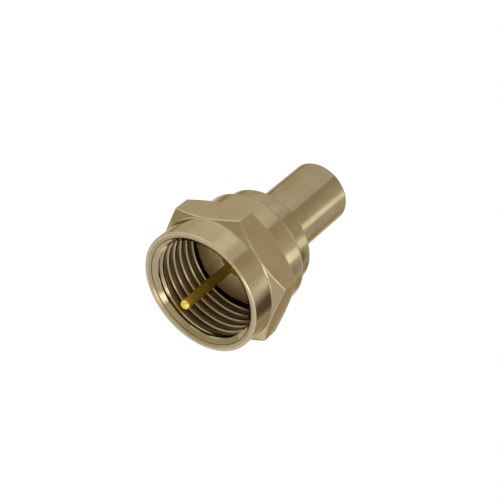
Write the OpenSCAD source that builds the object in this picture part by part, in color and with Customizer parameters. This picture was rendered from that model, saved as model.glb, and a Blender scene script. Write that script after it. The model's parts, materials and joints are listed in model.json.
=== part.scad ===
// F connector for coaxial cable: crimp type, with a centre pin and a free-spinning hexagon nut.
// The axis runs along X, with +X out of the nut's mouth, towards the socket that it screws on.
// The origin is on the axis, on the post's flange face, which is where the socket's end seats.

/* [Coupling nut] */
// Size across the hexagon's flats
hex_af = 11; // [10.8:0.1:12.5]
// Wall of the plain ring at the mouth, outside the thread's root
ring_wall = 0.6; // [0.4:0.05:0.65]
// Length of the plain ring at the mouth
ring_len = 2.2; // [1.4:0.1:2.8]
// Wall of the round shoulder behind the hexagon, outside the thread's root
shoulder_wall = 0.29; // [0.2:0.01:0.6]
// Length of the round shoulder behind the hexagon
shoulder_len = 2.17; // [1.5:0.01:2.6]
// Radius of the shoulder's rear corner
shoulder_round = 0.4; // [0.1:0.05:0.8]
// Angle of the chamfers at both ends of the hexagon, from a plane across the axis
hex_chamfer_angle = 30; // [20:1:40]
// Width of the flat rim round the mouth, outside the lead-in
rim_w = 0.41; // [0.2:0.01:0.6]
// Thickness of the back wall that runs on the post's neck
back_wall = 1.25; // [0.8:0.05:1.8]
// Depth of the relief groove behind the thread, beyond the thread's root
relief_depth = 0.03; // [0:0.01:0.1]
// Length of the relief groove behind the thread
relief_len = 0.7; // [0.3:0.1:1.5]
// Radius of the small edges of the turned pieces
edge_round = 0.12; // [0.04:0.02:0.16]

/* [Thread] */
// Major diameter of the nut's 3/8-32 thread, at its roots
thread_major_d = 9.525; // [9.3:0.025:9.7]
// Height of the thread from its root to its crest; the bore is made at the crests
thread_h = 0.3825; // [0.3:0.0025:0.43]

/* [Ground post] */
// Depth from the nut's mouth to the flange face
seat_depth = 4.8; // [4.4:0.1:5.6]
// Diameter of the flange
flange_d = 7.8; // [7:0.1:8.2]
// Thickness of the flange
flange_t = 1; // [0.6:0.1:1.4]
// Diameter of the neck that the nut turns on
neck_d = 6; // [5.8:0.1:6.6]
// Diameter of the press ring held in the collar
press_d = 5; // [4.8:0.1:5.2]
// Length of the press ring held in the collar
press_len = 1.25; // [0.8:0.05:1.3]
// Outer diameter of the shank inside the crimp tube
shank_d = 3.1; // [3.1:0.05:3.4]
// Height of the two barbs on the shank above its surface
barb_h = 0.12; // [0.05:0.01:0.2]
// Length of one barb on the shank
barb_len = 0.7; // [0.4:0.1:1]
// Distance between the two barbs on the shank
barb_gap = 0.5; // [0.2:0.1:1]
// Diameter of the shank's bore for the cable's dielectric
cable_bore_d = 2.4; // [2.3:0.05:2.6]
// Distance from the end of the crimp tube back to the end of the shank
shank_recess = 0.6; // [0.2:0.1:1.5]

/* [Crimp body] */
// Diameter of the collar behind the nut
collar_d = 8.8; // [8.2:0.1:9.4]
// Length of the collar behind the nut
collar_len = 1.65; // [1.6:0.05:2.5]
// Outer diameter of the crimp tube
tail_d = 5.5; // [5.3:0.1:6.2]
// Wall of the crimp tube
tail_wall = 0.45; // [0.3:0.05:0.5]
// Length of the crimp tube
tail_len = 8; // [7:0.5:12]
// Radius of the crimp tube's outer end edge
tail_round = 0.25; // [0.05:0.05:0.25]

/* [Pin and insulator] */
// Diameter of the pin's free length
pin_d = 0.8; // [0.6:0.05:0.9]
// Length of the pin beyond the nut's mouth
pin_reach = 2; // [1:0.1:4]
// Radius of the rounded edge at the pin's tip
pin_tip_round = 0.22; // [0.1:0.02:0.28]
// Diameter of the pin where the insulator grips it
pin_grip_d = 1.2; // [1:0.05:1.4]
// Outer diameter of the cup at the pin's rear end
cup_d = 1.5; // [1.45:0.05:1.7]
// Length of the cup at the pin's rear end
cup_len = 2; // [1.5:0.1:2.5]
// Diameter of the hole in the cup for the cable's inner wire
wire_hole_d = 0.7; // [0.4:0.05:0.9]
// Depth of the hole in the cup
wire_hole_depth = 1.6; // [0.8:0.1:1.6]
// Diameter of the insulator and of the post's hole that holds it
insulator_d = 2.8; // [2.7:0.05:2.95]
// Length of the insulator
insulator_len = 2.9; // [2:0.1:3.2]
// Distance from the flange face back to the insulator's face
insulator_recess = 0.7; // [0.3:0.1:1.2]
// Diameter of the clear chamber round the cup
chamber_d = 2; // [1.8:0.05:2.2]

/* [Clearances] */
// Gap on the radius between the nut's back wall and the post's neck
neck_clearance = 0.08; // [0.03:0.01:0.1]
// Gap along the axis on each side of the nut's back wall
axial_play = 0.1; // [0.05:0.01:0.2]

/* [Hidden] */
// Steps in which a rounded edge of a profile is drawn
ROUND_STEPS = 6;
// Distance by which the cut through the nut runs past its two faces
PAST = 1;
// Number of barbs on the shank
BARB_COUNT = 2;
// Sides that make a full circle
ROUND = 96;

// Places along the axis, from the mouth to the tail's end
mouth_x = seat_depth;
ring_end_x = mouth_x - ring_len;
flange_rear_x = -flange_t;
wall_front_x = flange_rear_x - axial_play;
nut_rear_x = wall_front_x - back_wall;
hex_end_x = nut_rear_x + shoulder_len;
hex_len = ring_end_x - hex_end_x;
hex_middle_x = hex_end_x + hex_len/2;
relief_start_x = wall_front_x + relief_len;
collar_front_x = nut_rear_x - axial_play;
tail_start_x = collar_front_x - collar_len;
tail_end_x = tail_start_x - tail_len;
press_end_x = collar_front_x - press_len;
insulator_front_x = -insulator_recess;
insulator_rear_x = insulator_front_x - insulator_len;
cup_end_x = insulator_rear_x - cup_len;
chamber_end_x = cup_end_x - edge_round;
shank_end_x = tail_end_x + shank_recess;
pin_tip_x = mouth_x + pin_reach;

// Radii worked out from the sizes above
hex_corner_r = hex_af/sqrt(3);
root_r = thread_major_d/2;
crest_r = root_r - thread_h;
relief_r = root_r + relief_depth;
ring_r = root_r + ring_wall;
shoulder_r = root_r + shoulder_wall;
mouth_r = ring_r - rim_w;
lead_in_end_x = mouth_x - (mouth_r - crest_r);
neck_hole_r = neck_d/2 + neck_clearance;
tube_bore_r = tail_d/2 - tail_wall;
shank_r = shank_d/2;

nickel = [0.66, 0.61, 0.5];
gold = [0.86, 0.68, 0.2];
plastic = [0.9, 0.88, 0.82];

// Points of a rounded corner: a quarter turn of radius r about [x, y], starting at the angle from
function corner(x, y, r, from) = [for (i = [0:ROUND_STEPS])
    [x + r*cos(from - 90*i/ROUND_STEPS), y + r*sin(from - 90*i/ROUND_STEPS)]];

// Turns a profile about the X axis. Its points are [place along X, radius].
module turned(points) {
    rotate([0, 90, 0])
        rotate_extrude($fn = ROUND)
            polygon([for (p = points) [p[1], p[0]]]);
}

// Round core of the nut: shoulder with its rounded rear corner, then the ring at the mouth.
// The two diameters change inside the hexagon.
module nut_core() {
    turned(concat(
        [[nut_rear_x, 0]],
        corner(nut_rear_x + shoulder_round, shoulder_r - shoulder_round, shoulder_round, 180),
        [[hex_middle_x, shoulder_r], [hex_middle_x, ring_r]],
        corner(mouth_x - edge_round, ring_r - edge_round, edge_round, 90),
        [[mouth_x, 0]]));
}

// Hexagon with its flats up and down, cut at each end by a cone that starts at the round next to it
module nut_hexagon() {
    cone_reach = hex_len/tan(hex_chamfer_angle);
    intersection() {
        translate([hex_end_x, 0, 0])
            rotate([0, 90, 0])
                rotate([0, 0, 30])
                    cylinder(r = hex_corner_r, h = hex_len, $fn = 6);
        turned([[hex_end_x, 0], [hex_end_x, ring_r + cone_reach], [ring_end_x, ring_r], [ring_end_x, 0]]);
        turned([[hex_end_x, 0], [hex_end_x, shoulder_r], [ring_end_x, shoulder_r + cone_reach],
            [ring_end_x, 0]]);
    }
}

// Everything that is cut out of the nut: lead-in, bore at the thread's crests, relief and neck hole
module nut_bore() {
    turned([
        [nut_rear_x - PAST, 0],
        [nut_rear_x - PAST, neck_hole_r],
        [wall_front_x, neck_hole_r],
        [wall_front_x, relief_r],
        [relief_start_x, relief_r],
        [relief_start_x, crest_r],
        [lead_in_end_x, crest_r],
        [mouth_x + PAST, mouth_r + PAST],
        [mouth_x + PAST, 0]]);
}

module coupling_nut() {
    color(nickel)
        difference() {
            union() {
                nut_core();
                nut_hexagon();
            }
            nut_bore();
        }
}

// Collar and crimp tube, turned as one, with the seat for the post's press ring
module crimp_body() {
    collar_r = collar_d/2;
    tail_r = tail_d/2;
    press_r = press_d/2;
    color(nickel)
        turned(concat(
            corner(tail_end_x + tail_round, tail_r - tail_round, tail_round, 180),
            [[tail_start_x, tail_r]],
            corner(tail_start_x + edge_round, collar_r - edge_round, edge_round, 180),
            corner(collar_front_x - edge_round, collar_r - edge_round, edge_round, 90),
            [[collar_front_x, press_r], [press_end_x, press_r],
             [press_end_x, tube_bore_r], [tail_end_x, tube_bore_r]]));
}

// Outline of the barbs along the shank, from its end forward
function barbs() = [for (i = [0:BARB_COUNT - 1])
    let (rear_x = shank_end_x + edge_round + i*(barb_len + barb_gap))
        each [[rear_x, shank_r], [rear_x + barb_len, shank_r + barb_h], [rear_x + barb_len, shank_r]]];

// Flange, neck, press ring and barbed shank, bored through for the insulator and the cable
module ground_post() {
    color(nickel)
        turned(concat(
            [[shank_end_x, cable_bore_d/2], [shank_end_x, shank_r - edge_round]],
            barbs(),
            [[press_end_x, shank_r], [press_end_x, press_d/2], [collar_front_x, press_d/2],
             [collar_front_x, neck_d/2], [flange_rear_x, neck_d/2], [flange_rear_x, flange_d/2]],
            corner(-edge_round, flange_d/2 - edge_round, edge_round, 90),
            [[0, insulator_d/2], [insulator_rear_x, insulator_d/2], [insulator_rear_x, chamber_d/2],
             [chamber_end_x, chamber_d/2], [chamber_end_x, cable_bore_d/2]]));
}

module insulator() {
    color(plastic)
        turned([[insulator_front_x, pin_grip_d/2], [insulator_front_x, insulator_d/2],
            [insulator_rear_x, insulator_d/2], [insulator_rear_x, pin_grip_d/2]]);
}

// Pin with a rounded tip, the length that the insulator grips, and a cup for the cable's inner wire
module center_pin() {
    pin_r = pin_d/2;
    color(gold)
        turned(concat(
            [[cup_end_x + wire_hole_depth, 0], [cup_end_x + wire_hole_depth, wire_hole_d/2],
             [cup_end_x, wire_hole_d/2], [cup_end_x, cup_d/2], [insulator_rear_x, cup_d/2],
             [insulator_rear_x, pin_grip_d/2], [insulator_front_x, pin_grip_d/2],
             [insulator_front_x, pin_r]],
            corner(pin_tip_x - pin_tip_round, pin_r - pin_tip_round, pin_tip_round, 90),
            [[pin_tip_x, 0]]));
}

coupling_nut();
crimp_body();
ground_post();
insulator();
center_pin();
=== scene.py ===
# %% [markdown]
# # An F connector in nickel and gold
#
# This lesson dresses a small coaxial plug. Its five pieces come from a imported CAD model, which says
# where everything is and what turns on what. Blender adds what the plain solids lack: the thread in the
# nut, eased edges, and metal with the fine marks that a lathe and a plating bath leave.
#
# The CAD model is loaded first and is never moved. Each new piece stands for one CAD node.

# %% Load the CAD frame
import json
import math

import bmesh
import bpy
from mathutils import Matrix, Quaternion, Vector


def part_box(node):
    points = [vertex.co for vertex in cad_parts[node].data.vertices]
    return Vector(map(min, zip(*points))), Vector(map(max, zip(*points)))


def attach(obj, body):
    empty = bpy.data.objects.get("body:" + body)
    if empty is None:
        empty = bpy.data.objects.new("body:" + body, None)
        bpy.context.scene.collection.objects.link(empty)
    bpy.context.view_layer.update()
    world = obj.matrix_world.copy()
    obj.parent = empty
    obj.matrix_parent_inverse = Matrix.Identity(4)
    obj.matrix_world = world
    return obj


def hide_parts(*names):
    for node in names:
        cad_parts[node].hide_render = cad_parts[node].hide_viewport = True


MM = 0.001

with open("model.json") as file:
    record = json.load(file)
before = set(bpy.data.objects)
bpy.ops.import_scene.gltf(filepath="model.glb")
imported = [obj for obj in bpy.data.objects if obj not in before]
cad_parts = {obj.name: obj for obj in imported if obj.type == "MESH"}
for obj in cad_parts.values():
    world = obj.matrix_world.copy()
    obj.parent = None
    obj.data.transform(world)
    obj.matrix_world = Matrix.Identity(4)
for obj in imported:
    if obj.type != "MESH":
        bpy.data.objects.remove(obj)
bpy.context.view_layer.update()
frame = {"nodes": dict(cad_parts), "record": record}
print("CAD nodes:", sorted(frame["nodes"]))

# %% [markdown]
# ## Sizes
#
# A turned piece is easiest to think about as an outline: places along the axis and a radius at each.
# The outlines below are in millimetres, with X out of the nut's mouth, as on a lathe drawing. What the
# CAD model can say is read from its boxes and mounts, so that the two can't drift apart. What it can't
# say, such as the wall of the ring at the mouth, is repeated from the CAD source under the same name.


# %% The CAD boxes in millimetres
def box_mm(node):
    """Lowest and highest corner of a CAD node, in millimetres."""
    low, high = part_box(node)
    return low / MM, high / MM


nut_low, nut_high = box_mm("coupling_nut")
body_low, body_high = box_mm("crimp_body")
post_low, post_high = box_mm("ground_post")
bush_low, bush_high = box_mm("insulator")
pin_low, pin_high = box_mm("center_pin")
mounts = {mount["name"]: mount for mount in frame["record"]["mounts"]}
print("mounts:", sorted(mounts))

# %% [markdown]
# ## Camera
#
# The photograph looks into the nut's mouth from the front right and above, with the camera leaning a
# little. A camera can be placed by typing its matrix, but an aim point, two angles, a distance and a lean
# say the same thing in words that can be changed one at a time. A long lens keeps the shape calm.

# %% The camera at the photograph's angle
AZIMUTH = 131.835
ELEVATION = 29.299
LEAN = 11.488
DISTANCE = 120.054
AIM = Vector((-0.723, 1.124, 0.951))
LENS = 109.4
SENSOR_WIDTH = 36
NEAREST_SEEN = 10
FARTHEST_SEEN = 10000

turn, rise = math.radians(AZIMUTH), math.radians(ELEVATION)
towards_camera = Vector((math.sin(turn) * math.cos(rise), -math.cos(turn) * math.cos(rise), math.sin(rise)))
facing_aim = (-towards_camera).to_track_quat("-Z", "Y")
leaning = Quaternion((0, 0, 1), math.radians(-LEAN))

camera_data = bpy.data.cameras.new("Camera")
camera_data.lens = LENS
camera_data.sensor_width = SENSOR_WIDTH
camera_data.clip_start = NEAREST_SEEN * MM
camera_data.clip_end = FARTHEST_SEEN * MM
camera = bpy.data.objects.new("Camera", camera_data)
bpy.context.scene.collection.objects.link(camera)
camera.location = (AIM + towards_camera * DISTANCE) * MM
camera.rotation_mode = "QUATERNION"
camera.rotation_quaternion = facing_aim @ leaning
bpy.context.scene.camera = camera
camera_up = camera.rotation_quaternion @ Vector((0, 1, 0))
print("camera at", [round(v, 2) for v in camera.location / MM], "up", [round(v, 4) for v in camera_up])

# %% [markdown]
# ## Studio
#
# Polished metal has almost no look of its own: it shows the room. A photographer lights it with large
# plain surfaces, and so does this scene. The world is a plain room with pale warm walls that darken
# upwards, and a bright ceiling. An image of a real room would also do, but a ramp of a few shades can be
# changed one at a time. The view transform is Standard, so that a colour renders about as it is written.

# %% Room
# Height in the room is measured along ROOM_UP, which leans a little. The shades start at the horizon, and
# the first one also covers everything below it.
ROOM_UP = (-0.15, -0.3, 1)
ROOM_SHADES = (
    (0.00, (0.91, 0.85, 0.73)),
    (0.10, (0.86, 0.79, 0.66)),
    (0.28, (0.75, 0.68, 0.55)),
    (0.44, (0.71, 0.64, 0.51)),
    (0.53, (1.04, 1.03, 0.99)),
    (0.76, (1.02, 1.00, 0.96)),
    (0.92, (1.16, 1.14, 1.09)),
)

scene = bpy.context.scene
scene.view_settings.view_transform = "Standard"

world = bpy.data.worlds.new("Plain room")
scene.world = world
world.use_nodes = True
room = world.node_tree
room.nodes.clear()
direction = room.nodes.new("ShaderNodeTexCoord")
height = room.nodes.new("ShaderNodeVectorMath")
height.operation = "DOT_PRODUCT"
height.inputs[1].default_value = ROOM_UP
shades = room.nodes.new("ShaderNodeValToRGB")
shades.color_ramp.interpolation = "EASE"
ramp = shades.color_ramp.elements
while len(ramp) < len(ROOM_SHADES):
    ramp.new(0.5)
# A new stop starts in the middle and is moved after that. Colours come last, so that it doesn't matter if
# the stops change order on the way.
for element, (place_on_ramp, colour) in zip(ramp, ROOM_SHADES):
    element.position = place_on_ramp
for element, (place_on_ramp, colour) in zip(ramp, ROOM_SHADES):
    element.color = (*colour, 1)
background = room.nodes.new("ShaderNodeBackground")
room_output = room.nodes.new("ShaderNodeOutputWorld")
room.links.new(direction.outputs["Generated"], height.inputs[0])
room.links.new(height.outputs["Value"], shades.inputs["Fac"])
room.links.new(shades.outputs["Color"], background.inputs["Color"])
room.links.new(background.outputs["Background"], room_output.inputs["Surface"])
print("room: shades at", [round(element.position, 2) for element in ramp])

# %% [markdown]
# ### Helpers
#
# A node is made, set and linked in three lines or more, and that soon hides what a material does. Short
# functions for the nodes that come back often keep each material readable. The floor and the cards are both
# flat rectangles, so they share one function too.


# %% Helpers for node trees and flat sheets
def feed(tree, socket, value):
    """Gives an input socket a plain value, or links it to an output socket."""
    if isinstance(value, bpy.types.NodeSocket):
        tree.links.new(value, socket)
    else:
        socket.default_value = value


def math_node(tree, operation, *values):
    """A Math node whose inputs are numbers or sockets; returns its output socket."""
    node = tree.nodes.new("ShaderNodeMath")
    node.operation = operation
    for socket, value in zip(node.inputs, values):
        feed(tree, socket, value)
    return node.outputs["Value"]


def flat_sheet(name, length, width):
    """A flat rectangle, its sides in millimetres, with its middle at its own origin."""
    mesh = bpy.data.meshes.new(name)
    corners = ((-1, -1), (1, -1), (1, 1), (-1, 1))
    mesh.from_pydata([(x * length / 2 * MM, y * width / 2 * MM, 0) for x, y in corners], [], [(0, 1, 2, 3)])
    sheet = bpy.data.objects.new(name, mesh)
    scene.collection.objects.link(sheet)
    print(f"{name}: {length} x {width} mm")
    return sheet


# %% [markdown]
# ### Floor
#
# The plug stands over a pale sheet. Light alone can't make the sheet as white as the photograph's without
# bleaching the metal too, so the sheet also glows. Only the camera and the metal see that glow: it lights
# nothing, and what shadow the plug throws stays on the sheet.

# %% Floor
FLOOR_Z = -40
FLOOR_SIDE = 2400
FLOOR_COLOUR = (0.70, 0.71, 0.755)
FLOOR_GLOW = 0.32

floor = flat_sheet("floor", FLOOR_SIDE, FLOOR_SIDE)
floor.location.z = FLOOR_Z * MM
floor_paint = bpy.data.materials.new("pale floor")
floor_paint.use_nodes = True
floor_tree = floor_paint.node_tree
floor_shader = floor_tree.nodes["Principled BSDF"]
floor_shader.inputs["Base Color"].default_value = (*FLOOR_COLOUR, 1)
floor_shader.inputs["Roughness"].default_value = 0.9
floor_shader.inputs["Specular IOR Level"].default_value = 0.1
floor_shader.inputs["Emission Color"].default_value = (1, 1, 1, 1)
rays = floor_tree.nodes.new("ShaderNodeLightPath").outputs
seen = math_node(floor_tree, "MAXIMUM", rays["Is Camera Ray"], rays["Is Glossy Ray"])
seen = math_node(floor_tree, "MAXIMUM", seen, rays["Is Transmission Ray"])
glow = math_node(floor_tree, "MULTIPLY", seen, FLOOR_GLOW)
floor_tree.links.new(glow, floor_shader.inputs["Emission Strength"])
floor.data.materials.append(floor_paint)
print("floor at", FLOOR_Z, "mm")

# %% [markdown]
# ### Lamps
#
# Two rectangular lamps add to the room's light, one from the right and a weak one from overhead. A spot
# would do that too, but its reflection in the metal is a small dot, and a rectangle's is a broad patch.


# %% Lamps
def soft_lamp(name, towards, distance, width, length, brightness, colour):
    """A rectangular lamp that faces the connector from a direction, at a plain brightness of its surface."""
    lamp_data = bpy.data.lights.new(name, "AREA")
    lamp_data.shape = "RECTANGLE"
    lamp_data.size = width * MM
    lamp_data.size_y = length * MM
    lamp_data.energy = brightness * math.pi * width * length * MM * MM
    lamp_data.color = colour
    lamp = bpy.data.objects.new(name, lamp_data)
    scene.collection.objects.link(lamp)
    away = Vector(towards).normalized()
    lamp.location = away * distance * MM
    lamp.rotation_mode = "QUATERNION"
    lamp.rotation_quaternion = away.to_track_quat("Z", "Y")
    lamp.visible_camera = False
    print(f"{name}: {distance} mm away, {width} x {length} mm")


soft_lamp("lamp on the right", towards=(0.34, 0.92, -0.03), distance=200, width=60, length=50,
          brightness=2.4, colour=(1.0, 0.98, 0.94))
soft_lamp("lamp overhead", towards=(0.1, -0.2, 1.0), distance=400, width=300, length=300,
          brightness=0.15, colour=(1.0, 0.99, 0.96))

# %% [markdown]
# ### Cards
#
# Lamps light the floor too. Where only the metal should change, a photographer holds up a card: a white
# one puts a bright line along a tube, and a dark one next to it makes that line look polished. A real card
# is close and out of focus, so its edge is soft in the metal. Here a card is a flat sheet that glows at a
# plain level and turns transparent towards its edge, and neither the camera nor a matt surface sees it.


# %% Paper that fades out
def fading_paper(name, along, across, shade, core):
    """A glow that is even up to core, a share of the sheet's size, and fades out from there in an oval."""
    paper = bpy.data.materials.new(name)
    paper.use_nodes = True
    tree = paper.node_tree
    tree.nodes.clear()
    position = tree.nodes.new("ShaderNodeTexCoord").outputs["Object"]
    from_centre = tree.nodes.new("ShaderNodeVectorMath")
    from_centre.operation = "MULTIPLY"
    from_centre.inputs[1].default_value = (2 / (along * MM), 2 / (across * MM), 0)
    how_far = tree.nodes.new("ShaderNodeVectorMath")
    how_far.operation = "LENGTH"
    fade = tree.nodes.new("ShaderNodeMapRange")
    fade.interpolation_type = "SMOOTHSTEP"
    fade.inputs["From Min"].default_value = core
    fade.inputs["To Min"].default_value = 1
    fade.inputs["To Max"].default_value = 0
    light = tree.nodes.new("ShaderNodeEmission")
    light.inputs["Color"].default_value = (*shade, 1)
    clear = tree.nodes.new("ShaderNodeBsdfTransparent")
    blend = tree.nodes.new("ShaderNodeMixShader")
    output = tree.nodes.new("ShaderNodeOutputMaterial")
    tree.links.new(position, from_centre.inputs[0])
    tree.links.new(from_centre.outputs["Vector"], how_far.inputs[0])
    tree.links.new(how_far.outputs["Value"], fade.inputs["Value"])
    tree.links.new(fade.outputs["Result"], blend.inputs["Fac"])
    tree.links.new(clear.outputs["BSDF"], blend.inputs[1])
    tree.links.new(light.outputs["Emission"], blend.inputs[2])
    tree.links.new(blend.outputs["Shader"], output.inputs["Surface"])
    print("paper of", name, "shade", shade)
    return paper


# %% Cards
def soft_card(name, centre, along, across, shade, core, roll=0.0):
    """An oval card at a place in mm that faces the connector, with its long way along the axis. It has its
    full shade up to core, a share of its size, and fades out from there. roll turns it in its own plane."""
    away = Vector(centre).normalized()
    side = (Vector((1, 0, 0)) - away * away.x).normalized()
    side.rotate(Quaternion(away, math.radians(roll)))
    card = flat_sheet(name, along, across)
    card.matrix_world = Matrix((side, away.cross(side), away)).transposed().to_4x4()
    card.location = Vector(centre) * MM
    card.data.materials.append(fading_paper(name, along, across, shade, core))
    card.visible_camera = False
    card.visible_diffuse = False
    card.visible_shadow = False


soft_card("bright card low on the right", (-73, 73, -26), 66, 36, (2.05, 2.07, 2.03), 0.3, roll=-38)
soft_card("dark card under it", (-20.5, 23.5, -24.5), 28, 37, (0.2, 0.17, 0.125), 0.25)
soft_card("grey card below the ring", (-19, 4, -28), 36, 23, (0.74, 0.67, 0.55), 0.42)
soft_card("small bright card by the ring", (-12.7, 23.3, -5), 12, 11, (1.6, 1.6, 1.52), 0.2)
soft_card("bright card in front", (53, 49, -4), 42, 36, (3.4, 3.35, 3.15), 0.2)
soft_card("bright card before the mouth", (70, 0, -24), 22, 36, (2.6, 2.55, 2.4), 0.2)
soft_card("small bright card before the mouth", (70.5, 22.6, -12), 20, 20, (3.0, 2.95, 2.75), 0.2)
soft_card("small bright card below the mouth", (10, -4, -30.4), 20, 18, (1.48, 1.46, 1.46), 0.4)
soft_card("bright card overhead", (-22, 12, 40), 46, 26, (1.36, 1.34, 1.30), 0.3)
soft_card("bright card on the right", (30, 62, -24), 44, 36, (2.6, 2.55, 2.4), 0.2)

# %% [markdown]
# ## Effects that the finishes share
#
# Three things are seen on every plated piece: fine rings left by the turning tool, a cloudy unevenness
# of the plating, and edges painted brighter, as wear and as a painted highlight. Each could be wired again
# in every material. They are node groups instead, made once, with named inputs, and every material gives
# them its own values.


# %% Making a node group
def new_group(name, inputs, outputs):
    """A shader node group with its sockets; returns the tree, its input node and its output node."""
    group = bpy.data.node_groups.new(name, "ShaderNodeTree")
    for label, kind, value in inputs:
        socket = group.interface.new_socket(label, in_out="INPUT", socket_type=kind)
        if value is not None:
            socket.default_value = value
    for label, kind in outputs:
        group.interface.new_socket(label, in_out="OUTPUT", socket_type=kind)
    print("node group:", name)
    return group, group.nodes.new("NodeGroupInput"), group.nodes.new("NodeGroupOutput")


def noise_node(tree, position, scale, detail, roughness):
    """Noise between 0 and 1 that is read at a position; returns its output socket."""
    node = tree.nodes.new("ShaderNodeTexNoise")
    node.inputs["Detail"].default_value = detail
    node.inputs["Roughness"].default_value = roughness
    tree.links.new(position, node.inputs["Vector"])
    feed(tree, node.inputs["Scale"], scale)
    return node.outputs["Fac"]


def mix_node(tree, kind, factor, first, second):
    """A Mix node of colours (RGBA) or numbers (FLOAT); returns its output socket."""
    node = tree.nodes.new("ShaderNodeMix")
    node.data_type = kind
    tree.links.new(factor, node.inputs["Factor"])
    feed(tree, node.inputs["A"], first)
    feed(tree, node.inputs["B"], second)
    return node.outputs["Result"]


# %% [markdown]
# ### Turning marks
#
# A turned surface has the same height all the way round, and changes only along the axis or, on a face,
# along the radius. So the noise is read at a place made of just those two numbers, with a little of the
# place from side to side mixed in, so that no ring is perfect.

# %% Turning marks
turning, turning_in, turning_out = new_group(
    "Turning marks",
    [
        ("Position", "NodeSocketVector", None),
        ("Rings per mm", "NodeSocketFloat", 8.0),
        ("Breakup", "NodeSocketFloat", 0.06),
    ],
    [("Height", "NodeSocketFloat")])
place = turning.nodes.new("ShaderNodeSeparateXYZ")
turning.links.new(turning_in.outputs["Position"], place.inputs["Vector"])
square_y = math_node(turning, "MULTIPLY", place.outputs["Y"], place.outputs["Y"])
square_z = math_node(turning, "MULTIPLY", place.outputs["Z"], place.outputs["Z"])
radius = math_node(turning, "SQRT", math_node(turning, "ADD", square_y, square_z))
wander = math_node(turning, "MULTIPLY", place.outputs["Y"], turning_in.outputs["Breakup"])
lathe_place = turning.nodes.new("ShaderNodeCombineXYZ")
turning.links.new(place.outputs["X"], lathe_place.inputs["X"])
turning.links.new(radius, lathe_place.inputs["Y"])
turning.links.new(wander, lathe_place.inputs["Z"])
rings_per_m = math_node(turning, "MULTIPLY", turning_in.outputs["Rings per mm"], 1 / MM)
rings = noise_node(turning, lathe_place.outputs["Vector"], rings_per_m, detail=1.5, roughness=0.6)
turning.links.new(rings, turning_out.inputs["Height"])

# %% [markdown]
# ### Cloudy plating
#
# Bright nickel is never one colour. Handling and the bath leave soft patches a millimetre or two across,
# slightly duller and warmer than the rest. One noise drives both the colour and the roughness, because on
# the real thing the same film causes both.

# %% Cloudy plating
cloud, cloud_in, cloud_out = new_group(
    "Cloudy plating",
    [
        ("Position", "NodeSocketVector", None),
        ("Patch size mm", "NodeSocketFloat", 1.6),
        ("Clean colour", "NodeSocketColor", (0.8, 0.8, 0.8, 1)),
        ("Dull colour", "NodeSocketColor", (0.7, 0.7, 0.7, 1)),
        ("Clean roughness", "NodeSocketFloat", 0.15),
        ("Dull roughness", "NodeSocketFloat", 0.25),
    ],
    [("Color", "NodeSocketColor"), ("Roughness", "NodeSocketFloat")])
patches_per_m = math_node(cloud, "DIVIDE", 1 / MM, cloud_in.outputs["Patch size mm"])
patches = noise_node(cloud, cloud_in.outputs["Position"], patches_per_m, detail=4.0, roughness=0.55)
dullness = cloud.nodes.new("ShaderNodeMapRange")
dullness.interpolation_type = "SMOOTHSTEP"
dullness.inputs["From Min"].default_value = 0.35
dullness.inputs["From Max"].default_value = 0.68
cloud.links.new(patches, dullness.inputs["Value"])
film = dullness.outputs["Result"]
film_colour = mix_node(cloud, "RGBA", film, cloud_in.outputs["Clean colour"], cloud_in.outputs["Dull colour"])
film_haze = mix_node(
    cloud, "FLOAT", film, cloud_in.outputs["Clean roughness"], cloud_in.outputs["Dull roughness"])
cloud.links.new(film_colour, cloud_out.inputs["Color"])
cloud.links.new(film_haze, cloud_out.inputs["Roughness"])

# %% [markdown]
# ### Rubbed edges and painted highlights
#
# Edges that stand out meet fingers, spanners and other connectors first, so they are worn brighter. The
# same brighter colour is also a painted highlight, the bright line that a rounded edge or a thread's crest
# catches. Blender can guess edges from the mesh, but the guess spreads over long thin faces. Each mesh
# below knows its own edges, because it makes them, and stores at each point a number for its wear and
# painted highlight. The group breaks that number up with noise.

# %% Rubbed edges and painted highlights
EDGE_BREAKUP_PER_MM = 1.6

edge_wear_and_highlight, edge_highlight_in, edge_highlight_out = new_group(
    "Rubbed edges",
    [
        ("Position", "NodeSocketVector", None),
        ("Edge", "NodeSocketFloat", 0.0),
        ("Evenness", "NodeSocketFloat", 0.5),
    ],
    [("Mask", "NodeSocketFloat")])
edge_breakup = noise_node(edge_wear_and_highlight, edge_highlight_in.outputs["Position"], EDGE_BREAKUP_PER_MM / MM, detail=2.0, roughness=0.5)
kept = math_node(edge_wear_and_highlight, "MAXIMUM", edge_breakup, edge_highlight_in.outputs["Evenness"])
wear_and_highlight_mask = math_node(edge_wear_and_highlight, "MULTIPLY", edge_highlight_in.outputs["Edge"], kept)
edge_wear_and_highlight.links.new(wear_and_highlight_mask, edge_highlight_out.inputs["Mask"])

# %% [markdown]
# ## Finishes
#
# All plated pieces are built the same way: a metallic Principled shader whose colour and roughness come
# from the cloudy plating, painted brighter on the edges for wear and as a painted highlight, with the
# turning marks as a very shallow bump.
# One function wires it, and each finish gives its own colours and scales. The nut has one thing more: down
# in its thread the grooves are painted dark brown as painted shade, and are rougher.


# %% Helpers for materials
def group_node(tree, group, **values):
    """Places a node group in a material and sets its inputs by name, with _ for a space."""
    node = tree.nodes.new("ShaderNodeGroup")
    node.node_tree = group
    for label, value in values.items():
        feed(tree, node.inputs[label.replace("_", " ")], value)
    return node.outputs


def mesh_number(tree, name):
    """A number that the mesh stores at its points, as an output socket."""
    node = tree.nodes.new("ShaderNodeAttribute")
    node.attribute_name = name
    return node.outputs["Fac"]


def new_material(name):
    """A Principled material; returns it, its tree, its shader and the socket of the place on the piece."""
    material = bpy.data.materials.new(name)
    material.use_nodes = True
    tree = material.node_tree
    position = tree.nodes.new("ShaderNodeTexCoord").outputs["Object"]
    print("finish:", name)
    return material, tree, tree.nodes["Principled BSDF"], position


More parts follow.
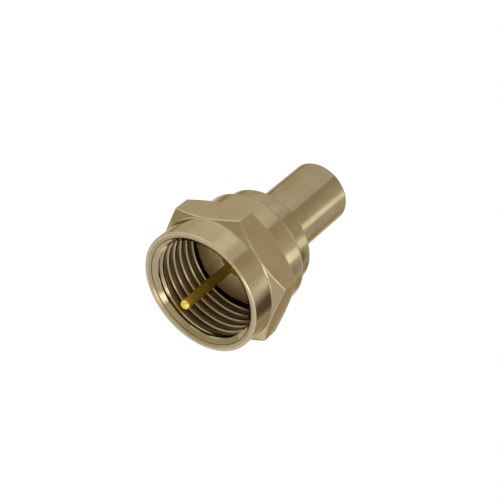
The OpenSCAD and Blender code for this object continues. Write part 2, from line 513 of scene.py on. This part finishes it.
def add_bump(tree, shader, height_socket, depth):
    """Feeds a height between 0 and 1 to a shader as a bump that is depth millimetres high."""
    bump = tree.nodes.new("ShaderNodeBump")
    bump.inputs["Distance"].default_value = depth * MM
    bump.inputs["Strength"].default_value = 1.0
    tree.links.new(height_socket, bump.inputs["Height"])
    tree.links.new(bump.outputs["Normal"], shader.inputs["Normal"])


# %% Plated metal
# Tints what the metal mirrors at a low angle, where it would otherwise turn nearly white.
PLATING_TINT = (0.72, 0.64, 0.50)


def plated_metal(name, clean, dull, edge, clean_rough, dull_rough, patch_mm, rings_per_mm, mark_depth,
                 groove_shade_colour=None, groove_rough=None):
    """A plated turned surface. mark_depth is in millimetres. The colour given for a thread's grooves is
    painted shade. It and the grooves' roughness take over as the mesh's number for that shade goes to 1."""
    material, tree, shader, position = new_material(name)
    shader.inputs["Metallic"].default_value = 1.0
    shader.inputs["Specular Tint"].default_value = (*PLATING_TINT, 1)
    clouds = group_node(
        tree, cloud, Position=position, Patch_size_mm=patch_mm,
        Clean_colour=(*clean, 1), Dull_colour=(*dull, 1),
        Clean_roughness=clean_rough, Dull_roughness=dull_rough)
    # Edges are painted brighter, for wear and as a painted highlight.
    edges = group_node(tree, edge_wear_and_highlight, Position=position, Edge=mesh_number(tree, "rubbed"))
    colour = mix_node(tree, "RGBA", edges["Mask"], clouds["Color"], (*edge, 1))
    roughness = clouds["Roughness"]
    # Down in a thread the colour turns to painted shade.
    if groove_shade_colour:
        groove = mesh_number(tree, "groove")
        colour = mix_node(tree, "RGBA", groove, colour, (*groove_shade_colour, 1))
        roughness = mix_node(tree, "FLOAT", groove, roughness, groove_rough)
    tree.links.new(colour, shader.inputs["Base Color"])
    tree.links.new(roughness, shader.inputs["Roughness"])
    marks = group_node(tree, turning, Position=position, Rings_per_mm=rings_per_mm)
    add_bump(tree, shader, marks["Height"], mark_depth)
    return material


# %% Nickel and gold
# On each finish, edge is the colour of wear and of the painted highlight on edges.
nut_nickel = plated_metal(
    "nickel on the nut",
    clean=(0.367, 0.304, 0.187), dull=(0.341, 0.278, 0.164), edge=(0.66, 0.58, 0.42),
    clean_rough=0.06, dull_rough=0.10, patch_mm=1.8, rings_per_mm=5.0, mark_depth=0.00016,
    # The nut's groove colour is painted shade down in its thread.
    groove_shade_colour=(0.118, 0.082, 0.04), groove_rough=0.38)
body_nickel = plated_metal(
    "nickel on the crimp body",
    clean=(0.324, 0.27, 0.165), dull=(0.292, 0.235, 0.137), edge=(0.47, 0.41, 0.28),
    clean_rough=0.09, dull_rough=0.14, patch_mm=1.5, rings_per_mm=5.0, mark_depth=0.0002)
# The post's nickel is painted lighter than the nut's, as painted light on its flange down in the nut.
post_nickel_painted_lighter = plated_metal(
    "nickel on the post",
    clean=(0.53, 0.43, 0.215), dull=(0.485, 0.39, 0.19), edge=(0.64, 0.54, 0.31),
    clean_rough=0.46, dull_rough=0.54, patch_mm=1.2, rings_per_mm=6.0, mark_depth=0.00005)
pin_gold = plated_metal(
    "gold on the pin",
    clean=(0.745, 0.56, 0.085), dull=(0.67, 0.495, 0.066), edge=(0.80, 0.67, 0.15),
    clean_rough=0.33, dull_rough=0.37, patch_mm=2.0, rings_per_mm=6.0, mark_depth=4e-7)

# %% [markdown]
# ### Plastic of the insulator
#
# The insulator is a moulded bush, matt and slightly mottled. One plain pale colour would do from afar. The
# same cloudy group gives the mottling here, and a fine noise stands in for the grain of the mould.

# %% Moulded plastic
GRAIN_PER_MM = 14
GRAIN_DEPTH = 0.004


def moulded_plastic(name, pale, shaded):
    """Matt plastic with a faint mottling and the fine grain of a mould."""
    material, tree, shader, position = new_material(name)
    clouds = group_node(
        tree, cloud, Position=position, Patch_size_mm=0.9, Clean_colour=(*pale, 1), Dull_colour=(*shaded, 1),
        Clean_roughness=0.5, Dull_roughness=0.62)
    tree.links.new(clouds["Color"], shader.inputs["Base Color"])
    tree.links.new(clouds["Roughness"], shader.inputs["Roughness"])
    grain = noise_node(tree, position, GRAIN_PER_MM / MM, detail=2.0, roughness=0.5)
    add_bump(tree, shader, grain, GRAIN_DEPTH)
    return material


bush_plastic = moulded_plastic("plastic of the insulator", (0.72, 0.70, 0.62), (0.64, 0.61, 0.52))

# %% [markdown]
# ## Turned pieces
#
# A turned piece is an outline spun about the axis. Blender's Screw modifier can do it, but the mesh is
# made here point by point, because then every edge can be eased and can carry the number for its wear
# and painted highlight. A real edge is never razor sharp, and it is the small round on each edge that
# catches the light.


# %% Easing the corners of an outline
def eased(corners, closed=True, steps=4):
    """Rounds the corners of an outline. A corner is (x, radius, ease): ease is how far from the corner
    its curve starts, 0 for none, and below 0 for an inner corner, which gets no wear or painted highlight.
    Each point that comes back is (x, radius, edge brightness), and that brightness, for wear and painted
    highlight, is 1 in the middle of a curve."""
    points = []
    last = len(corners) - 1
    for i, (x, r, ease) in enumerate(corners):
        if ease == 0 or (not closed and i in (0, last)):
            points.append((x, r, 0.0))
            continue
        here = Vector((x, r))
        start = here + (Vector(corners[i - 1][:2]) - here).normalized() * abs(ease)
        end = here + (Vector(corners[(i + 1) % len(corners)][:2]) - here).normalized() * abs(ease)
        for step in range(steps + 1):
            t = step / steps
            point = start.lerp(here, t).lerp(here.lerp(end, t), t)
            points.append((point.x, point.y, 4 * t * (1 - t) if ease > 0 else 0.0))
    return points


square_corner = [(0, 0, 0), (0, 1, 0.2), (1, 1, 0)]
print("points of a square corner, eased, and its two ends:", len(eased(square_corner, closed=False)))

# %% Spinning an outline
COLUMNS = 256
ON_AXIS = 1e-6


def around(x, r, theta):
    """The place at x, radius r and an angle about +X that starts at +Y, in metres."""
    return Vector((x, r * math.cos(theta), r * math.sin(theta))) * MM


def skin(mesh, rings, wrap_rows):
    """Faces between neighbouring rings of points. Each ring closes on itself."""
    pairs = zip(rings, rings[1:] + rings[:1]) if wrap_rows else zip(rings, rings[1:])
    for low, high in pairs:
        for j in range(len(low)):
            k = (j + 1) % len(low)
            corners = list(dict.fromkeys((low[j], low[k], high[k], high[j])))
            if len(corners) > 2:
                mesh.faces.new(corners)


def spin(points, closed):
    """A bmesh of an outline of (x, radius, wear and painted highlight) turned about X."""
    mesh = bmesh.new()
    rubbed = mesh.verts.layers.float.new("rubbed")
    rings = []
    for x, r, wear_highlight in points:
        if r < ON_AXIS:
            ring = [mesh.verts.new(around(x, 0, 0))] * COLUMNS
        else:
            ring = [mesh.verts.new(around(x, r, 2 * math.pi * j / COLUMNS)) for j in range(COLUMNS)]
        for point in ring:
            point[rubbed] = wear_highlight
        rings.append(ring)
    skin(mesh, rings, closed)
    return mesh


print("columns in a turned piece:", COLUMNS)

# %% Putting a piece in the scene
SHARP_FROM_DEGREES = 40


def finished_piece(name, mesh, material, body, node):
    """Turns a bmesh into a shaded piece that rides on a CAD body and stands for a CAD node."""
    bmesh.ops.recalc_face_normals(mesh, faces=mesh.faces)
    loose = sum(1 for edge in mesh.edges if not edge.is_manifold)
    data = bpy.data.meshes.new(name)
    mesh.to_mesh(data)
    mesh.free()
    for polygon in data.polygons:
        polygon.use_smooth = True
    data.set_sharp_from_angle(angle=math.radians(SHARP_FROM_DEGREES))
    data.materials.append(material)
    piece = bpy.data.objects.new(name, data)
    scene.collection.objects.link(piece)
    normals = piece.modifiers.new("Flat faces stay flat", "WEIGHTED_NORMAL")
    normals.keep_sharp = True
    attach(piece, body)
    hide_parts(node)
    print(f"{name}: {len(data.polygons)} faces, {loose} open edges")
    return piece


# %% [markdown]
# ## Crimp body
#
# The collar and the thin tube behind it are one turned piece. The cable's braid and jacket go inside the
# tube, which is then squeezed on them. Its far end is well rounded, so that it can't cut the jacket. A
# cylinder with a bevel would come close, but the outline also gives the bore and its step.

# %% Crimp body
tail_len = 8
tail_wall = 0.45
tail_round = 0.25
tail_bore_ease = 0.08
tail_root_ease = -0.08
collar_ease = 0.13
press_d = 5
press_len = 1.25

collar_r = body_high.y
collar_front_x = body_high.x
tail_end_x = body_low.x
tail_start_x = tail_end_x + tail_len
tail_r = mounts["crimp_barrel"]["dims"]["r_mm"]
tail_bore_r = tail_r - tail_wall
press_r = press_d / 2
press_end_x = collar_front_x - press_len

crimp_body = finished_piece(
    "crimp_tube_and_collar",
    spin(eased([
        (tail_end_x, tail_bore_r, tail_bore_ease),
        (tail_end_x, tail_r, tail_round),
        (tail_start_x, tail_r, tail_root_ease),
        (tail_start_x, collar_r, collar_ease),
        (collar_front_x, collar_r, collar_ease),
        (collar_front_x, press_r, 0),
        (press_end_x, press_r, 0),
        (press_end_x, tail_bore_r, 0),
    ]), closed=True),
    body_nickel, "body", "crimp_body")

# %% [markdown]
# ## Ground post
#
# The post is the metal floor seen down in the nut. Its flange keeps the nut on, its neck is what the nut
# turns on, and behind the press ring its thin shank carries two barbs for the braid, seen only from behind.
# Cylinders joined end to end would leave faces inside, so it is one outline too. A loop gives the barbs.

# %% The post's barbs
shank_d = 3.1
barb_h = 0.12
barb_len = 0.7
barb_gap = 0.5
barb_ease = 0.03
BARB_COUNT = 2
edge_round = 0.12

shank_r = shank_d / 2
shank_end_x = post_low.x
barbs = []
for i in range(BARB_COUNT):
    barb_x = shank_end_x + edge_round + i * (barb_len + barb_gap)
    barbs.append((barb_x, shank_r, 0))
    barbs.append((barb_x + barb_len, shank_r + barb_h, barb_ease))
    barbs.append((barb_x + barb_len, shank_r, 0))
print("barbs start at", [round(x, 3) for x, r, ease in barbs[::3]], "mm")

# %% Ground post
neck_d = 6
neck_ease = 0.04
flange_t = 1
flange_rear_ease = 0.08
flange_front_ease = 0.3
bush_hole_ease = 0.05
chamber_d = 2
shank_ease = 0.08
cable_bore_ease = 0.04

flange_r = post_high.y
flange_rear_x = -flange_t
neck_r = neck_d / 2
bush_r = bush_high.y
bush_rear_x = bush_low.x
chamber_r = chamber_d / 2
chamber_end_x = pin_low.x - edge_round
cable_bore_r = mounts["cable_bore"]["dims"]["r_mm"]

ground_post = finished_piece(
    "ground_post_with_flange",
    spin(eased([
        (shank_end_x, cable_bore_r, cable_bore_ease),
        (shank_end_x, shank_r, shank_ease),
        *barbs,
        (press_end_x, shank_r, 0),
        (press_end_x, press_r, 0),
        (collar_front_x, press_r, 0),
        (collar_front_x, neck_r, neck_ease),
        (flange_rear_x, neck_r, 0),
        (flange_rear_x, flange_r, flange_rear_ease),
        (0, flange_r, flange_front_ease),
        (0, bush_r, bush_hole_ease),
        (bush_rear_x, bush_r, 0),
        (bush_rear_x, chamber_r, 0),
        (chamber_end_x, chamber_r, 0),
        (chamber_end_x, cable_bore_r, 0),
    ]), closed=True),
    post_nickel_painted_lighter, "body", "ground_post")

# %% [markdown]
# ## Insulator
#
# The insulator is a plain moulded bush that holds the pin off the metal. It is set back in the post's hole,
# so that little more than a dark ring shows round the pin. A tube could be made by joining two cylinders,
# but four corners of an outline are enough.

# %% Insulator
pin_grip_d = 1.2
bush_ease = 0.04

grip_r = pin_grip_d / 2
bush_front_x = bush_high.x

insulator = finished_piece(
    "insulator_bush",
    spin(eased([
        (bush_front_x, grip_r, bush_ease),
        (bush_front_x, bush_r, bush_ease),
        (bush_rear_x, bush_r, bush_ease),
        (bush_rear_x, grip_r, bush_ease),
    ]), closed=True),
    bush_plastic, "body", "insulator")

# %% [markdown]
# ## Pin
#
# The pin is turned and gold plated, with a rounded tip that finds the socket, a thicker length that the
# bush grips, and a hollow cup at the back that takes the cable's inner wire. A cylinder with half a ball on
# it would do for the tip alone, but one outline gives the cup too. It starts and ends on the axis, so it
# isn't closed, and its curves have more steps, because the tip is what the eye goes to.

# %% Pin
PIN_STEPS = 7
pin_tip_ease = 0.34
pin_step_ease = -0.04
grip_ease = 0.04
cup_ease = 0.06
wire_hole_d = 0.7
wire_hole_depth = 1.6
wire_hole_ease = 0.04
wire_hole_end_ease = -0.05

pin_r = mounts["center_pin"]["dims"]["r_mm"]
pin_tip_x = pin_high.x
cup_r = pin_high.y
cup_end_x = pin_low.x
wire_hole_r = wire_hole_d / 2
wire_hole_end_x = cup_end_x + wire_hole_depth

center_pin = finished_piece(
    "gold_center_pin",
    spin(eased([
        (wire_hole_end_x, 0, 0),
        (wire_hole_end_x, wire_hole_r, wire_hole_end_ease),
        (cup_end_x, wire_hole_r, wire_hole_ease),
        (cup_end_x, cup_r, cup_ease),
        (bush_rear_x, cup_r, cup_ease),
        (bush_rear_x, grip_r, 0),
        (bush_front_x, grip_r, grip_ease),
        (bush_front_x, pin_r, pin_step_ease),
        (pin_tip_x, pin_r, pin_tip_ease),
        (pin_tip_x, 0, 0),
    ], closed=False, steps=PIN_STEPS), closed=False),
    pin_gold, "body", "center_pin")

# %% [markdown]
# ## Coupling nut
#
# The nut is a hexagon with a ring before it and a shoulder behind it, and a 3/8-32 thread inside. Cutting
# it from solids with booleans would give long thin faces that shade badly. Instead each column of points
# round the nut gets its own outline: where the column crosses the hexagon, its flat is further out near
# a corner, and the 30 degree chamfers turn that into their arcs by themselves.

# %% The nut's sizes
thread_major_d = 9.525
ring_wall = 0.6
ring_len = 2.2
rim_w = 0.41
shoulder_wall = 0.29
shoulder_len = 2.17
back_wall = 1.25
neck_clearance = 0.08
relief_depth = 0.03
relief_len = 0.7
hex_chamfer_angle = 30

flat_r = nut_high.z
crest_r = mounts["jack_socket"]["dims"]["r_mm"]
root_r = thread_major_d / 2
ring_r = root_r + ring_wall
mouth_r = ring_r - rim_w
shoulder_r = root_r + shoulder_wall
relief_r = root_r + relief_depth
neck_hole_r = neck_r + neck_clearance
chamfer_slope = math.tan(math.radians(hex_chamfer_angle))

mouth_x = nut_high.x
nut_rear_x = nut_low.x
ring_end_x = mouth_x - ring_len
hex_end_x = nut_rear_x + shoulder_len
wall_front_x = nut_rear_x + back_wall
relief_start_x = wall_front_x + relief_len
print("nut from", round(nut_rear_x, 3), "to", round(mouth_x, 3), "mm,", round(2 * flat_r, 3), "across flats")

# %% [markdown]
# ### Columns round the nut
#
# The ring and the bore need many columns to look round, and an eased corner needs some of its own, close
# together. The angles are worked out once, for the sixth of a turn round one corner, and repeated.

# %% Columns round the nut
SIDES = 6
CORNER_TO_CORNER = 360 / SIDES
CORNER_TO_FLAT = CORNER_TO_CORNER / 2
CORNER_EASE = 0.07
CORNER_COLUMNS = 4
FLAT_COLUMNS = 24
ANGLE_DIGITS = 6
ANGLE_MARGIN = 1e-6

# CORNER_EASE is the radius of the round on a corner. The flat ends where that round begins.
corner_r = 2 * flat_r / math.sqrt(3)
half_side = flat_r * math.tan(math.radians(CORNER_TO_FLAT))
flat_end = half_side - CORNER_EASE * math.tan(math.radians(CORNER_TO_FLAT))
ease_centre_r = corner_r - CORNER_EASE / math.cos(math.radians(CORNER_TO_FLAT))
flat_angle = math.degrees(math.atan(flat_end / flat_r))
eased_angle = CORNER_TO_FLAT - flat_angle
offsets = [eased_angle * i / CORNER_COLUMNS for i in range(CORNER_COLUMNS)]
offsets += [eased_angle + flat_angle * i / FLAT_COLUMNS for i in range(FLAT_COLUMNS + 1)]
# The last offset is the middle of a flat, which the next sixth of a turn has as its first.
sector = sorted({round(sign * offset, ANGLE_DIGITS) for offset in offsets for sign in (-1, 1)})[:-1]
thetas = [math.radians(CORNER_TO_CORNER * k + offset) for k in range(SIDES) for offset in sector]
print(len(thetas), "columns, corners eased from", round(flat_angle, 3), "degrees off the flats' middles")


def side_at(theta):
    """Distance from the axis to the hexagon's side at an angle, and 1 on an eased corner."""
    turned = math.degrees(theta) % CORNER_TO_CORNER
    from_corner = math.radians(min(turned, CORNER_TO_CORNER - turned))
    if math.degrees(from_corner) < eased_angle - ANGLE_MARGIN:
        across = ease_centre_r * math.sin(from_corner)
        return ease_centre_r * math.cos(from_corner) + math.sqrt(CORNER_EASE**2 - across**2), 1.0
    return flat_r / math.cos(math.radians(CORNER_TO_FLAT) - from_corner), 0.0


# %% [markdown]
# ### The rim
#
# The rim is crowned, not flat: from its top it falls to a lip round the mouth. A fine dark line of painted
# shade runs in the crease just inside the lip, and then the lead-in cone begins. The line could be painted
# on with a texture, but a few points that carry the number for painted shade put it exactly where the
# edge is. The CAD model's cone is 45 degrees.
# This one is about ten degrees flatter, because that is how it mirrors in the photograph, and the
# difference is a tenth of a millimetre at most.

# %% The rim's sizes
crown_wall = 0.2
crown_drop = 0.13
lip_w = 0.12
line_depth = 0.035
line_w = 0.037
line_end_depth = 0.055
line_end_w = 0.056
rows_end_depth = 0.2
# Radius that the lead-in loses in each millimetre of depth; 1 would be 45 degrees.
LEAD_IN_SLOPE = 1.43

# The line's painted shade is full as far as line_depth and line_w from the lip, and has faded out at its
# end. The thread's rows of points end just behind it, on the lead-in.
crown_r = ring_r - crown_wall
lip_x = mouth_x - crown_drop
lip_r = mouth_r - lip_w
line_end_x = lip_x - line_end_depth
line_end_r = lip_r - line_end_w
rows_end_x = mouth_x - rows_end_depth
print("lip at", round(lip_x, 3), "mm, radius", round(lip_r, 3), "mm")

# %% [markdown]
# ### The thread
#
# 3/8-32 means 32 turns to the inch, right-handed, with flanks at 60 degrees. Rows of points that run
# straight round the bore would cut across the thread and leave steps. So each row follows the helix:
# it starts a little further out at each column, by one pitch in a full turn. The rows stop at the relief
# groove and at the lead-in, and points that meet there are merged.

# %% The outline of one tooth
INCH = 25.4
TURNS_TO_THE_INCH = 32
PITCH = INCH / TURNS_TO_THE_INCH
CREST_HALF = 0.085
FLANK = 0.221
CREST_EDGE, CREST_EDGE_DROP = 0.02, 0.012
UPPER_FLANK, UPPER_FLANK_DROP = 0.06, 0.08
LOWER_FLANK, LOWER_FLANK_DROP = 0.12, 0.19
ROOT_EDGE, ROOT_EDGE_RISE = 0.02, 0.035
ROOT_START = 0.03

# Each point is a place along the axis, a radius, its wear and painted highlight, and how much painted
# shade it gets, from none on the crest to full at the root.
half_tooth = [
    (0.0, crest_r, 0.3, 0.0),
    (CREST_HALF, crest_r, 0.5, 0.0),
    (CREST_HALF + CREST_EDGE, crest_r + CREST_EDGE_DROP, 0.3, 0.0),
    (CREST_HALF + UPPER_FLANK, crest_r + UPPER_FLANK_DROP, 0.0, 0.12),
    (CREST_HALF + LOWER_FLANK, crest_r + LOWER_FLANK_DROP, 0.0, 0.7),
    (CREST_HALF + FLANK - ROOT_EDGE, root_r - ROOT_EDGE_RISE, 0.0, 1.0),
    (CREST_HALF + FLANK + ROOT_START, root_r, 0.0, 1.0),
    (PITCH / 2, root_r, 0.0, 1.0),
]
tooth = [(-x, r, wear_highlight, groove) for x, r, wear_highlight, groove in reversed(half_tooth[1:])] + half_tooth
print("thread pitch", PITCH, "mm,", len(tooth) - 1, "rows a pitch")

# %% [markdown]
# ### The bore at any place
#
# The first turn is shallow, as where a tap enters, and the lead-in cone cuts its crest away. Its grooves
# get only faint painted shade. Towards the back the grooves are painted darker and the crests less bright,
# as painted shade, because less light comes down there. A material could work out both from the depth,
# but here each point simply carries them.

# %% The threaded bore
# Besides the thread's phase and where its turns deepen, these numbers set the painted shade in the grooves,
# faint on the first turn and darker towards the back, and how far the crests' painted highlight fades there,
# as painted shade.
THREAD_PHASE = 0.14
FIRST_TURN_DARK = 0.05
DARK_POWER_IN_FRONT = 1.4
DARK_POWER_FALL = 1.2
HIGHLIGHT_FALL_IN_SHADE = 0.6
first_turn_depth = 0.48
full_thread_depth = 1.2

first_turn_x = mouth_x - first_turn_depth
full_thread_x = mouth_x - full_thread_depth


def share_of(value, start, end):
    """How far a value has come from start to end, kept between 0 and 1."""
    return min(max((start - value) / (start - end), 0.0), 1.0)


def bore_at(x, theta):
    """Radius of the threaded bore, its wear and painted highlight there, and its painted shade."""
    along = (x - THREAD_PHASE - PITCH * theta / (2 * math.pi) + PITCH / 2) % PITCH - PITCH / 2
    for (x0, r0, wear_highlight0, groove_shade0), (x1, r1, wear_highlight1, groove_shade1) in zip(tooth, tooth[1:]):
        if x0 <= along <= x1:
            share = (along - x0) / (x1 - x0)
            full_r = r0 + (r1 - r0) * share
            wear_highlight = wear_highlight0 + (wear_highlight1 - wear_highlight0) * share
            groove = groove_shade0 + (groove_shade1 - groove_shade0) * share
            break
    entered = share_of(x, first_turn_x, full_thread_x)
    depth = share_of(x, rows_end_x, relief_start_x)
    cone_r = line_end_r - (line_end_x - x) * LEAD_IN_SLOPE
    thread_r = crest_r + (full_r - crest_r) * entered
    if cone_r > thread_r:
        return cone_r, 0.0, 0.0
    # Painted shade in the grooves, faint on the first turn and darker towards the back.
    darkness = max(groove, 0.0) * (FIRST_TURN_DARK + (1 - FIRST_TURN_DARK) * entered)
    power = DARK_POWER_IN_FRONT - DARK_POWER_FALL * depth
    # The crests' painted highlight fades towards the back, as painted shade.
    return thread_r, wear_highlight * (1 - HIGHLIGHT_FALL_IN_SHADE * depth), darkness**power


print("bore radius halfway down:", round(bore_at((relief_start_x + mouth_x) / 2, 0)[0], 3), "mm")

# %% [markdown]
# ### One outline for each column
#
# The outline starts at the thread's inner end, runs round the relief groove, the back wall's hole, the
# shoulder, the hexagon, the ring and the rim, and ends on the lead-in, where the thread's rows end. A
# round nut could use one list for all columns. Here the two ends of the outline and the hexagon's side move
# with the angle, so a function makes the list.

# %% Nut outline at an angle
CORNER_WEAR_AND_HIGHLIGHT = 0.1
SIDE_MARGIN = 0.01
relief_front_ease = -0.02
relief_rear_ease = -0.08
neck_hole_ease = 0.08
shoulder_round = 0.4
shoulder_root_ease = -0.05
hex_ease = 0.06
ring_root_ease = -0.14
ring_ease = 0.13
crown_ease = 0.08
crown_end_depth = 0.012
crown_end_w = 0.03


def nut_outline(theta):
    """The nut's outline at an angle, without the threaded bore, as (x, radius, wear and painted highlight,
    painted shade).
    """
    side, on_corner = side_at(theta)
    front_x = ring_end_x - (side - ring_r) * chamfer_slope
    rear_x = hex_end_x + (side - shoulder_r) * chamfer_slope
    points = eased([
        (relief_start_x, bore_at(relief_start_x, theta)[0], 0),
        (relief_start_x, relief_r, relief_front_ease),
        (wall_front_x, relief_r, relief_rear_ease),
        (wall_front_x, neck_hole_r, neck_hole_ease),
        (nut_rear_x, neck_hole_r, neck_hole_ease),
        (nut_rear_x, shoulder_r, shoulder_round),
        (hex_end_x, shoulder_r, shoulder_root_ease),
        (rear_x, side, hex_ease),
        (front_x, side, hex_ease),
        (ring_end_x, ring_r, ring_root_ease),
        (mouth_x, ring_r, ring_ease),
        (mouth_x, crown_r, crown_ease),
        (lip_x + crown_end_depth, lip_r + crown_end_w, 0),
    ], closed=False)
    outline = []
    for x, r, wear_highlight in points:
        # The hexagon's corners get a little wear and painted highlight.
        if r > side - SIDE_MARGIN:
            wear_highlight = max(wear_highlight, CORNER_WEAR_AND_HIGHLIGHT * on_corner)
        outline.append((x, r, wear_highlight, 0.0))
    # The next points carry painted shade: the dark line in the crease inside the lip.
    outline.append((lip_x, lip_r, 0.0, 1.0))
    outline.append((lip_x - line_depth, lip_r - line_w, 0.0, 1.0))
    outline.append((line_end_x, line_end_r, 0.0, 0.0))
    outline.append((rows_end_x, bore_at(rows_end_x, theta)[0], 0.0, 0.0))
    return outline


print("points in a column:", len(nut_outline(0)))

# %% The outside of the nut
nut_mesh = bmesh.new()
nut_wear_and_highlight = nut_mesh.verts.layers.float.new("rubbed")
nut_groove_shade = nut_mesh.verts.layers.float.new("groove")


def nut_point(x, r, theta, wear_highlight, groove):
    """A point of the nut's mesh with its two numbers."""
    point = nut_mesh.verts.new(around(x, r, theta))
    point[nut_wear_and_highlight] = wear_highlight
    point[nut_groove_shade] = groove
    return point


columns = []
for theta in thetas:
    columns.append([nut_point(x, r, theta, wear_highlight, groove) for x, r, wear_highlight, groove in nut_outline(theta)])
skin(nut_mesh, [list(row) for row in zip(*columns)], wrap_rows=False)
print("faces outside the thread:", len(nut_mesh.faces))

# %% The thread in the nut
TURNS = range(-3, 8)
ROW_MARGIN = 0.1
MERGE_DISTANCE = 0.0002
SLIVER = 0.0001

# There are more turns than the bore holds. The rows that would miss it are left out.
starts = [THREAD_PHASE + turn * PITCH + point[0] for turn in TURNS for point in tooth[:-1]]
starts = [x for x in starts if relief_start_x - PITCH - ROW_MARGIN < x < rows_end_x + ROW_MARGIN]
once_round = [*thetas, thetas[0] + 2 * math.pi]
rows = []
for start in starts:
    row = []
    for theta in once_round:
        x = min(max(start + PITCH * theta / (2 * math.pi), relief_start_x), rows_end_x)
        r, wear_highlight, groove = bore_at(x, theta)
        row.append(nut_point(x, r, theta, wear_highlight, groove))
    rows.append(row)
for low, high in zip(rows, rows[1:]):
    for j in range(len(once_round) - 1):
        nut_mesh.faces.new((low[j], low[j + 1], high[j + 1], high[j]))
bmesh.ops.remove_doubles(nut_mesh, verts=nut_mesh.verts, dist=MERGE_DISTANCE * MM)
bmesh.ops.dissolve_degenerate(nut_mesh, edges=nut_mesh.edges, dist=SLIVER * MM)
print("thread rows:", len(rows))

coupling_nut = finished_piece(
    "hexagon_coupling_nut", nut_mesh, nut_nickel, "nut", "coupling_nut")

# %% [markdown]
# ## Last checks
#
# Each new piece should fill the same box as the CAD node that it stands for, and the script prints how
# far off each piece's box is.

# %% Compare the boxes
pieces_and_nodes = (
    (coupling_nut, "coupling_nut"),
    (crimp_body, "crimp_body"),
    (ground_post, "ground_post"),
    (insulator, "insulator"),
    (center_pin, "center_pin"),
)
for piece, node in pieces_and_nodes:
    low, high = box_mm(node)
    points = [vertex.co / MM for vertex in piece.data.vertices]
    off = [abs(min(point[axis] for point in points) - low[axis]) for axis in range(3)]
    off += [abs(max(point[axis] for point in points) - high[axis]) for axis in range(3)]
    print(f"{piece.name}: box off by {max(off):.3f} mm")
